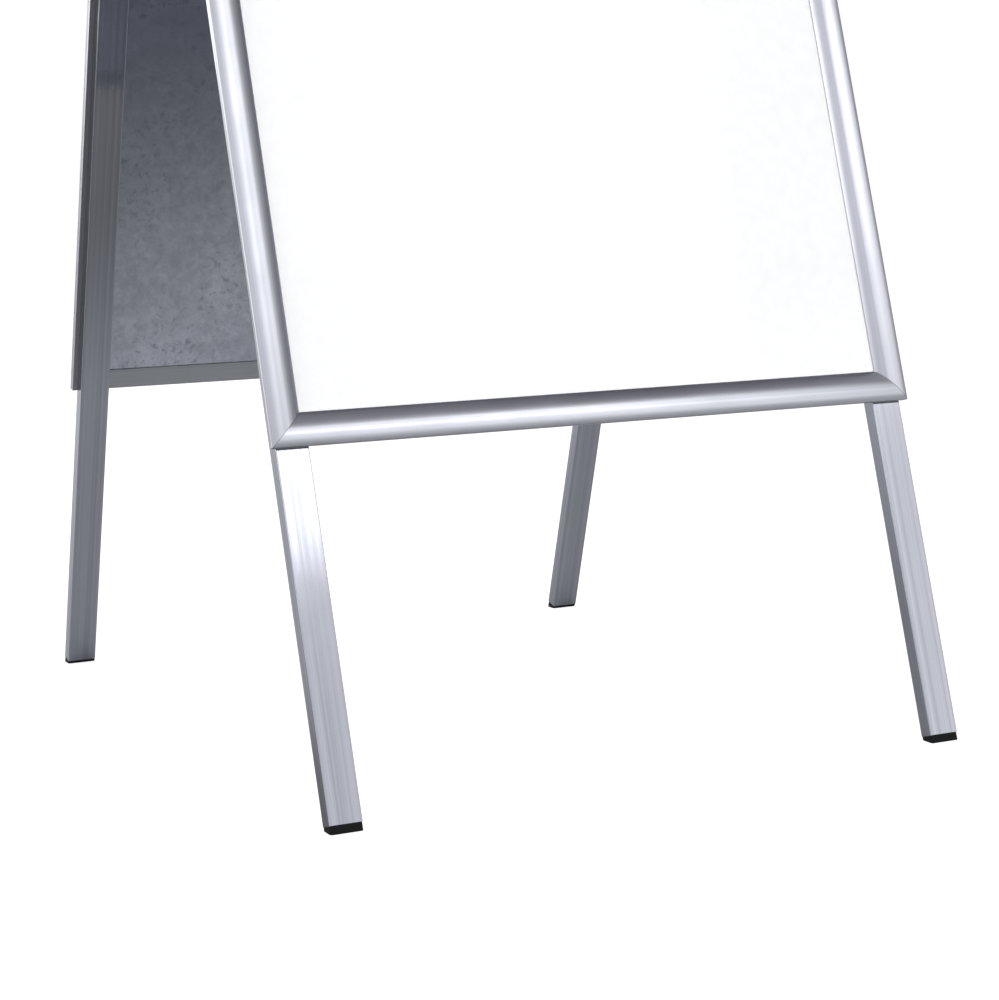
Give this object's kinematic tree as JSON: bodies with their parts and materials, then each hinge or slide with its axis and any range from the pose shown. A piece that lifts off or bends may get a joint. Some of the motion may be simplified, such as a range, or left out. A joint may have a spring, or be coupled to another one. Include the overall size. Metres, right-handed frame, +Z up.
{
  "type": "sandwich board",
  "caption": "Double-sided A-board: two hinged aluminium snap frames on rectangular tube legs with black feet, opening covers, folding stays and blank posters.",
  "frame": {"origin": "centre of the footprint on the ground", "axes": "+Z up; +Y from the front panel to the rear panel; +X to the right, seen from the front"},
  "size_m": [0.638, 0.7754, 1.1722],
  "materials": {
    "cover_aluminium": "satin anodised",
    "rail_aluminium": "mill, dull",
    "leg_aluminium": "extruded, faint die lines",
    "black_plastic": "moulded black",
    "galvanised_sheet": "galvanised spangle",
    "poster_paper": "blank white",
    "clear_protector": "clear, anti-glare",
    "spring_steel": "blued spring steel",
    "zinc_steel": "bright zinc plate",
    "rivet_aluminium": "plain"
  },
  "bodies": {
    "front_panel": {"front_left_leg": "leg_aluminium", "front_right_leg": "leg_aluminium", "front_left_foot": "black_plastic", "front_right_foot": "black_plastic", "front_left_plug": "black_plastic", "front_right_plug": "black_plastic", "front_top_rail": "rail_aluminium", "front_bottom_rail": "rail_aluminium", "front_left_rail": "rail_aluminium", "front_right_rail": "rail_aluminium", "front_back_sheet": "galvanised_sheet", "front_poster": "poster_paper", "front_protector": "clear_protector", "front_springs": "spring_steel", "front_corner_keys": "zinc_steel", "front_leg_rivets": "rivet_aluminium", "front_hinge_rivets": "rivet_aluminium", "front_stay_pivots": "zinc_steel", "left_hinge_front_leaf": "zinc_steel", "right_hinge_front_leaf": "zinc_steel", "left_hinge_pin": "zinc_steel", "right_hinge_pin": "zinc_steel"},
    "rear_panel": {"rear_left_leg": "leg_aluminium", "rear_right_leg": "leg_aluminium", "rear_left_foot": "black_plastic", "rear_right_foot": "black_plastic", "rear_left_plug": "black_plastic", "rear_right_plug": "black_plastic", "rear_top_rail": "rail_aluminium", "rear_bottom_rail": "rail_aluminium", "rear_left_rail": "rail_aluminium", "rear_right_rail": "rail_aluminium", "rear_back_sheet": "galvanised_sheet", "rear_poster": "poster_paper", "rear_protector": "clear_protector", "rear_springs": "spring_steel", "rear_corner_keys": "zinc_steel", "rear_leg_rivets": "rivet_aluminium", "rear_hinge_rivets": "rivet_aluminium", "rear_stay_pivots": "zinc_steel", "left_hinge_rear_leaf": "zinc_steel", "right_hinge_rear_leaf": "zinc_steel"},
    "front_top_cover": {"front_top_cover": "cover_aluminium"},
    "front_bottom_cover": {"front_bottom_cover": "cover_aluminium"},
    "front_left_cover": {"front_left_cover": "cover_aluminium"},
    "front_right_cover": {"front_right_cover": "cover_aluminium"},
    "rear_top_cover": {"rear_top_cover": "cover_aluminium"},
    "rear_bottom_cover": {"rear_bottom_cover": "cover_aluminium"},
    "rear_left_cover": {"rear_left_cover": "cover_aluminium"},
    "rear_right_cover": {"rear_right_cover": "cover_aluminium"},
    "left_stay_front": {"left_stay_front_link": "zinc_steel", "left_stay_front_rivet": "zinc_steel"},
    "left_stay_rear": {"left_stay_rear_link": "zinc_steel", "left_stay_rear_rivet": "zinc_steel"},
    "right_stay_front": {"right_stay_front_link": "zinc_steel", "right_stay_front_rivet": "zinc_steel"},
    "right_stay_rear": {"right_stay_rear_link": "zinc_steel", "right_stay_rear_rivet": "zinc_steel"}
  },
  "joints": [
    {"name": "fold", "type": "hinge", "parent": "front_panel", "child": "rear_panel", "pos_m": [0, 0, 1.16324], "axis": [-1, 0, 0], "range_deg": [0, 35]},
    {"name": "left_stay_front_turn", "type": "hinge", "parent": "front_panel", "child": "left_stay_front", "pos_m": [-0.2838, -0.11115, 0.85228], "axis": [1, 0, 0], "range_deg": [0, 66.04]},
    {"name": "left_stay_rear_turn", "type": "hinge", "parent": "rear_panel", "child": "left_stay_rear", "pos_m": [-0.2838, 0.11115, 0.85228], "axis": [-1, 0, 0], "range_deg": [0, 66.04]},
    {"name": "right_stay_front_turn", "type": "hinge", "parent": "front_panel", "child": "right_stay_front", "pos_m": [0.2838, -0.11115, 0.85228], "axis": [1, 0, 0], "range_deg": [0, 66.04]},
    {"name": "right_stay_rear_turn", "type": "hinge", "parent": "rear_panel", "child": "right_stay_rear", "pos_m": [0.2838, 0.11115, 0.85228], "axis": [-1, 0, 0], "range_deg": [0, 66.04]},
    {"name": "front_top_cover_open", "type": "hinge", "parent": "front_panel", "child": "front_top_cover", "pos_m": [0, -0.02965, 1.15136], "axis": [-1, 0, 0], "range_deg": [0, 90]},
    {"name": "front_bottom_cover_open", "type": "hinge", "parent": "front_panel", "child": "front_bottom_cover", "pos_m": [0, -0.29502, 0.3097], "axis": [1, 0, 0], "range_deg": [0, 90]},
    {"name": "front_left_cover_open", "type": "hinge", "parent": "front_panel", "child": "front_left_cover", "pos_m": [-0.31775, -0.16233, 0.73053], "axis": [0, -0.3007, -0.9537], "range_deg": [0, 90]},
    {"name": "front_right_cover_open", "type": "hinge", "parent": "front_panel", "child": "front_right_cover", "pos_m": [0.31775, -0.16233, 0.73053], "axis": [0, 0.3007, 0.9537], "range_deg": [0, 90]},
    {"name": "rear_top_cover_open", "type": "hinge", "parent": "rear_panel", "child": "rear_top_cover", "pos_m": [0, 0.02965, 1.15136], "axis": [1, 0, 0], "range_deg": [0, 90]},
    {"name": "rear_bottom_cover_open", "type": "hinge", "parent": "rear_panel", "child": "rear_bottom_cover", "pos_m": [0, 0.29502, 0.3097], "axis": [-1, 0, 0], "range_deg": [0, 90]},
    {"name": "rear_left_cover_open", "type": "hinge", "parent": "rear_panel", "child": "rear_left_cover", "pos_m": [-0.31775, 0.16233, 0.73053], "axis": [0, -0.3007, 0.9537], "range_deg": [0, 90]},
    {"name": "rear_right_cover_open", "type": "hinge", "parent": "rear_panel", "child": "rear_right_cover", "pos_m": [0.31775, 0.16233, 0.73053], "axis": [0, 0.3007, -0.9537], "range_deg": [0, 90]}
  ],
  "couplings": [
    {"joint": "left_stay_front_turn", "follows": "fold", "ratio": 1.8869},
    {"joint": "left_stay_rear_turn", "follows": "fold", "ratio": 1.8869},
    {"joint": "right_stay_front_turn", "follows": "fold", "ratio": 1.8869},
    {"joint": "right_stay_rear_turn", "follows": "fold", "ratio": 1.8869}
  ]
}
